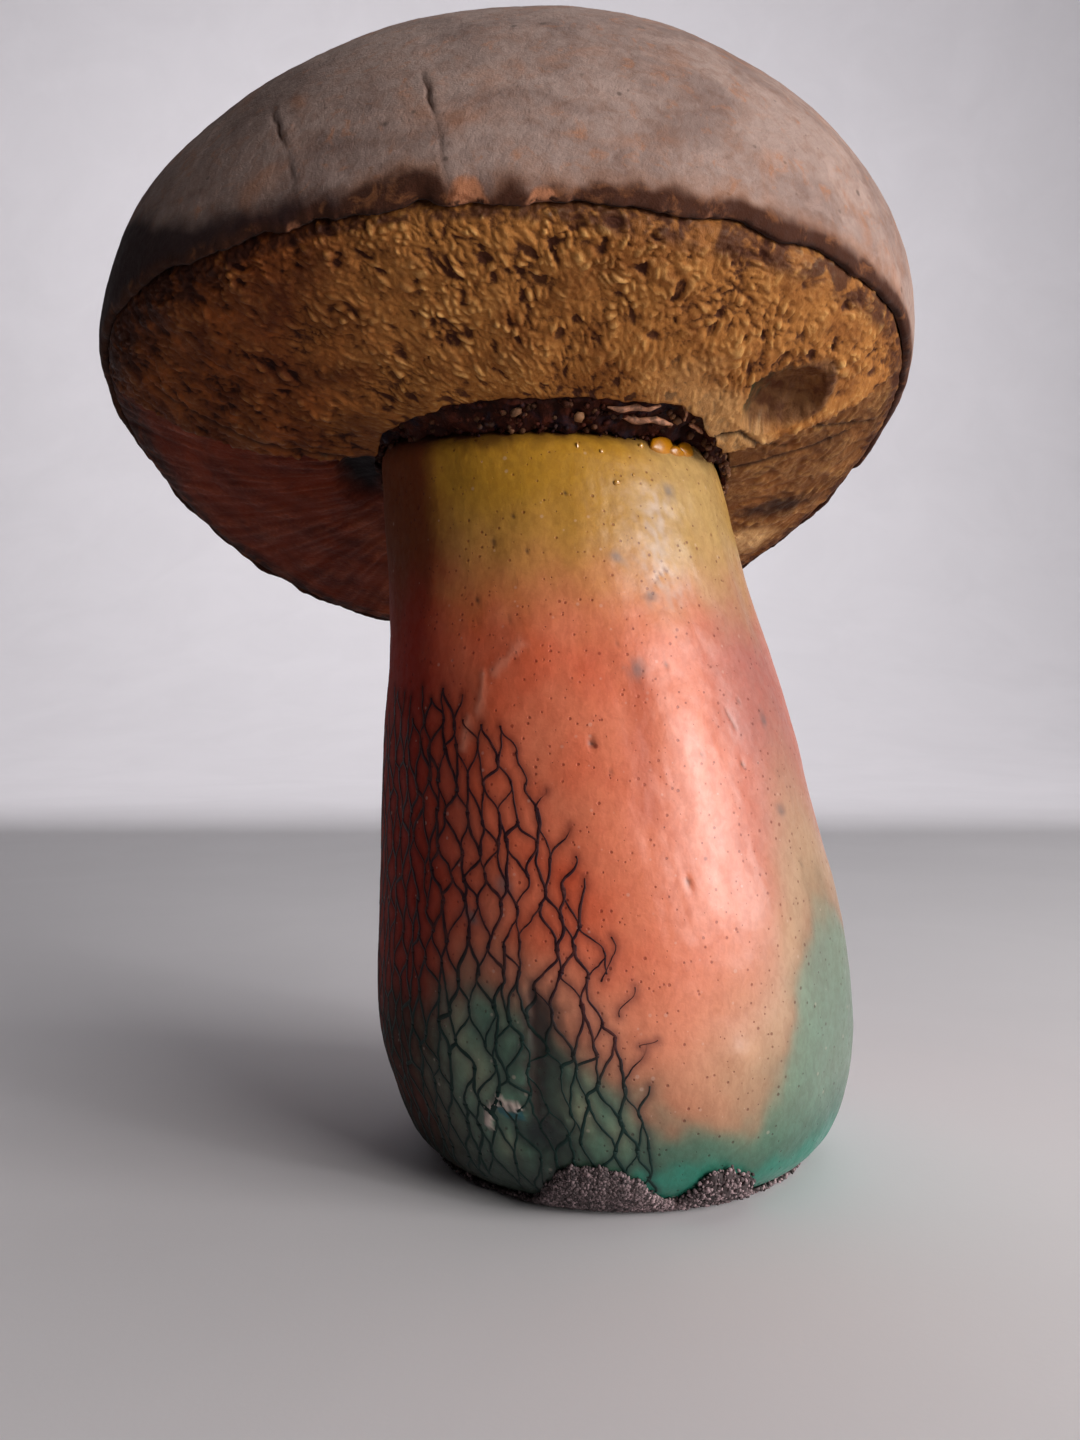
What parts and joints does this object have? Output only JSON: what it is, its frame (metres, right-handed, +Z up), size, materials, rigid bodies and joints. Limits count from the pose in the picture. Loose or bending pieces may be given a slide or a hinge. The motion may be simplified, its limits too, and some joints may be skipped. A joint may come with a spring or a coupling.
{
  "type": "bitter beech bolete mushroom",
  "caption": "Thick-stemmed bolete mushroom with a domed grey-brown cap tipped back, an ochre pore layer under it and a netted yellow, red and green stem on a flat foot.",
  "frame": {"origin": "centre of the flat foot of the stem, where it rests", "axes": "+Z up along the stem, -Y towards the side seen in the picture, +X to the right in the picture"},
  "size_m": [0.1015, 0.0895, 0.1355],
  "materials": {
    "cap_skin": "matt felt-like grey-brown paint with rusty blotches",
    "pore_surface": "mottled ochre and dark brown, rough with small lumps and pits",
    "stem_paint": "varnished airbrushed paint, olive yellow at the top, salmon in the middle, green at the foot, dark net on the left",
    "torn_filler": "dark torn fibre with beads of glue",
    "grit": "grey-lilac granules glued to the foot"
  },
  "bodies": {
    "root": {"cap": "cap_skin", "pore_layer": "pore_surface", "stem": "stem_paint", "seam_filler": "torn_filler", "grit_crust": "grit"}
  },
  "joints": []
}
